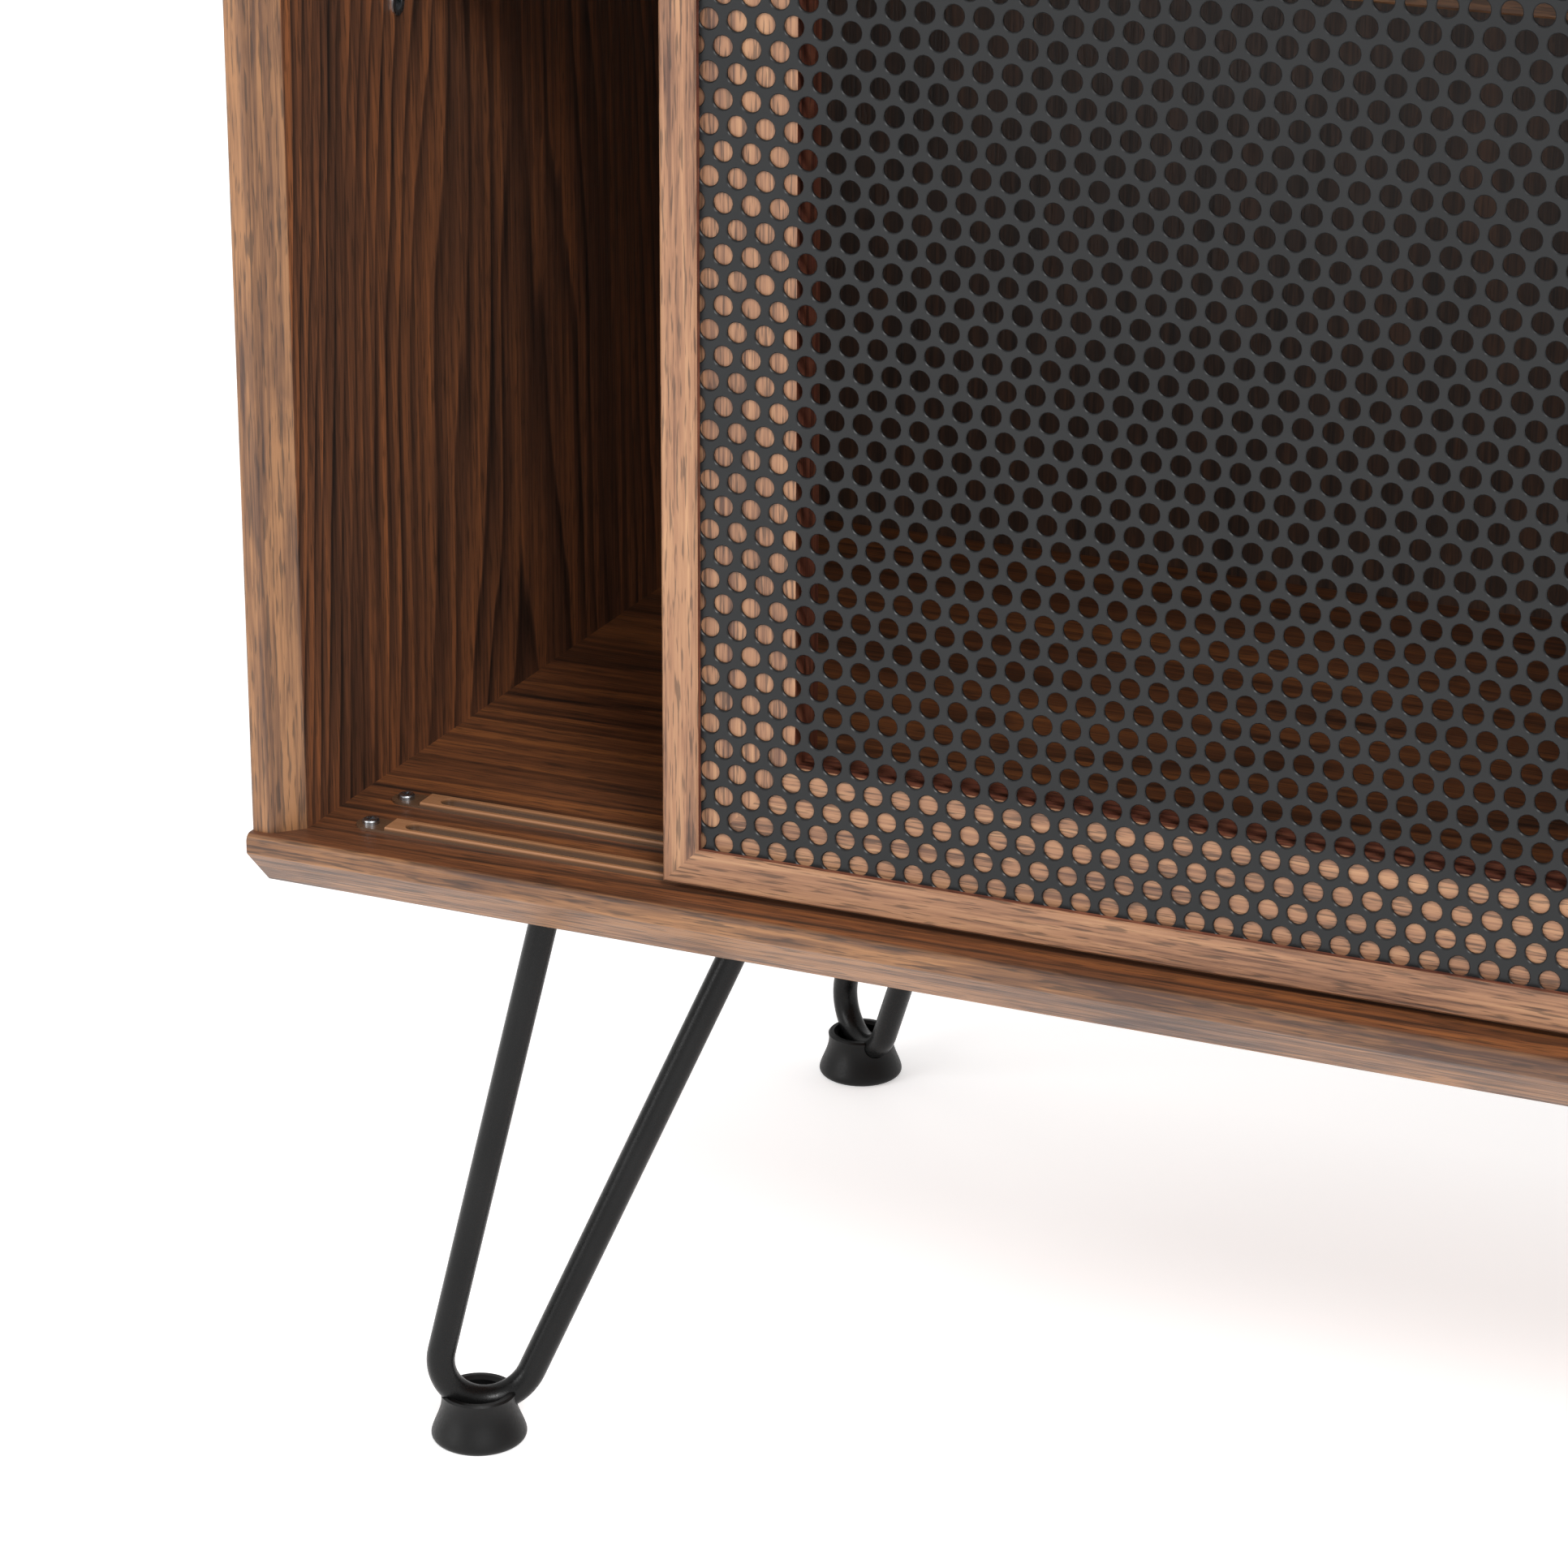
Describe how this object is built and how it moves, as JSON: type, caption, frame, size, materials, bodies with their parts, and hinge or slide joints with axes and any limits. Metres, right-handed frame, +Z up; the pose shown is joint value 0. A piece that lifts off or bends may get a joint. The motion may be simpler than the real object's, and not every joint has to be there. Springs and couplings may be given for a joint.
{
  "type": "record player cabinet",
  "caption": "Low walnut-finish cabinet for a record player and records, with two sliding perforated-metal doors, adjustable shelves and hairpin legs.",
  "frame": {"origin": "on the ground under the middle of the cabinet", "axes": "+X to the cabinet's right as seen from the front, +Y to the back, +Z up"},
  "size_m": [1.194, 0.4444, 0.711],
  "materials": {
    "walnut_laminate": "satin walnut-grain laminate",
    "walnut_hardboard": "matt walnut print",
    "charcoal_perforated_steel": "satin powder coat",
    "black_powder_coat": "matt powder coat",
    "black_rubber": "matt",
    "brown_plastic": "satin",
    "black_plastic": "matt",
    "white_nylon": "satin",
    "zinc_steel": "bright zinc plate",
    "zinc_die_cast": "cast",
    "beech": "raw turned beech"
  },
  "bodies": {
    "root": {"bottom_panel": "walnut_laminate", "top_panel": "walnut_laminate", "left_side_panel": "walnut_laminate", "right_side_panel": "walnut_laminate", "centre_divider": "walnut_laminate", "left_back_panel": "walnut_hardboard", "right_back_panel": "walnut_hardboard", "back_panel_screws": "zinc_steel", "left_shelf": "walnut_laminate", "right_shelf": "walnut_laminate", "shelf_pin_sleeves": "zinc_steel", "shelf_pins": "zinc_steel", "lower_front_track": "brown_plastic", "lower_rear_track": "brown_plastic", "upper_front_track": "brown_plastic", "upper_rear_track": "brown_plastic", "track_screws": "zinc_steel", "carcass_screws": "zinc_steel", "cam_locks": "zinc_die_cast", "cam_bolts": "zinc_steel", "dowels": "beech", "front_left_leg_rod": "black_powder_coat", "front_left_leg_plate": "black_powder_coat", "front_left_foot": "black_rubber", "front_right_leg_rod": "black_powder_coat", "front_right_leg_plate": "black_powder_coat", "front_right_foot": "black_rubber", "rear_left_leg_rod": "black_powder_coat", "rear_left_leg_plate": "black_powder_coat", "rear_left_foot": "black_rubber", "rear_right_leg_rod": "black_powder_coat", "rear_right_leg_plate": "black_powder_coat", "rear_right_foot": "black_rubber", "leg_screws": "black_powder_coat"},
    "front_door": {"front_door_left_stile": "walnut_laminate", "front_door_right_stile": "walnut_laminate", "front_door_bottom_rail": "walnut_laminate", "front_door_top_rail": "walnut_laminate", "front_door_perforated_sheet": "charcoal_perforated_steel", "front_door_left_roller_housing": "black_plastic", "front_door_right_roller_housing": "black_plastic", "front_door_axles": "zinc_steel", "front_door_guide_housings": "black_plastic"},
    "front_door_left_wheel": {"front_door_left_wheel": "white_nylon"},
    "front_door_left_guide_pin": {"front_door_left_guide_pin": "white_nylon"},
    "front_door_right_wheel": {"front_door_right_wheel": "white_nylon"},
    "front_door_right_guide_pin": {"front_door_right_guide_pin": "white_nylon"},
    "rear_door": {"rear_door_left_stile": "walnut_laminate", "rear_door_right_stile": "walnut_laminate", "rear_door_bottom_rail": "walnut_laminate", "rear_door_top_rail": "walnut_laminate", "rear_door_perforated_sheet": "charcoal_perforated_steel", "rear_door_left_roller_housing": "black_plastic", "rear_door_right_roller_housing": "black_plastic", "rear_door_axles": "zinc_steel", "rear_door_guide_housings": "black_plastic"},
    "rear_door_left_wheel": {"rear_door_left_wheel": "white_nylon"},
    "rear_door_left_guide_pin": {"rear_door_left_guide_pin": "white_nylon"},
    "rear_door_right_wheel": {"rear_door_right_wheel": "white_nylon"},
    "rear_door_right_guide_pin": {"rear_door_right_guide_pin": "white_nylon"}
  },
  "joints": [
    {"name": "front_door_slide", "type": "slide", "parent": "root", "child": "front_door", "axis": [1, 0, 0], "range_m": [-0.1445, 0.4175]},
    {"name": "front_door_left_wheel_spin", "type": "hinge", "parent": "front_door", "child": "front_door_left_wheel", "pos_m": [-0.3735, -0.19515, 0.2606], "axis": [0, 1, 0], "continuous": true},
    {"name": "front_door_left_guide_pin_travel", "type": "slide", "parent": "front_door", "child": "front_door_left_guide_pin", "axis": [0, 0, 1], "range_m": [-0.006, 0], "stiffness_N_per_m": 300, "springref_m": 0.004},
    {"name": "front_door_right_wheel_spin", "type": "hinge", "parent": "front_door", "child": "front_door_right_wheel", "pos_m": [0.1005, -0.19515, 0.2606], "axis": [0, 1, 0], "continuous": true},
    {"name": "front_door_right_guide_pin_travel", "type": "slide", "parent": "front_door", "child": "front_door_right_guide_pin", "axis": [0, 0, 1], "range_m": [-0.006, 0], "stiffness_N_per_m": 300, "springref_m": 0.004},
    {"name": "rear_door_slide", "type": "slide", "parent": "root", "child": "rear_door", "axis": [1, 0, 0], "range_m": [-0.562, 0]},
    {"name": "rear_door_left_wheel_spin", "type": "hinge", "parent": "rear_door", "child": "rear_door_left_wheel", "pos_m": [0.044, -0.16695, 0.2606], "axis": [0, 1, 0], "continuous": true},
    {"name": "rear_door_left_guide_pin_travel", "type": "slide", "parent": "rear_door", "child": "rear_door_left_guide_pin", "axis": [0, 0, 1], "range_m": [-0.006, 0], "stiffness_N_per_m": 300, "springref_m": 0.004},
    {"name": "rear_door_right_wheel_spin", "type": "hinge", "parent": "rear_door", "child": "rear_door_right_wheel", "pos_m": [0.518, -0.16695, 0.2606], "axis": [0, 1, 0], "continuous": true},
    {"name": "rear_door_right_guide_pin_travel", "type": "slide", "parent": "rear_door", "child": "rear_door_right_guide_pin", "axis": [0, 0, 1], "range_m": [-0.006, 0], "stiffness_N_per_m": 300, "springref_m": 0.004}
  ],
  "couplings": [
    {"joint": "front_door_left_wheel_spin", "follows": "front_door_slide", "rad_per_m": 111.11},
    {"joint": "front_door_right_wheel_spin", "follows": "front_door_slide", "rad_per_m": 111.11},
    {"joint": "rear_door_left_wheel_spin", "follows": "rear_door_slide", "rad_per_m": 111.11},
    {"joint": "rear_door_right_wheel_spin", "follows": "rear_door_slide", "rad_per_m": 111.11}
  ]
}
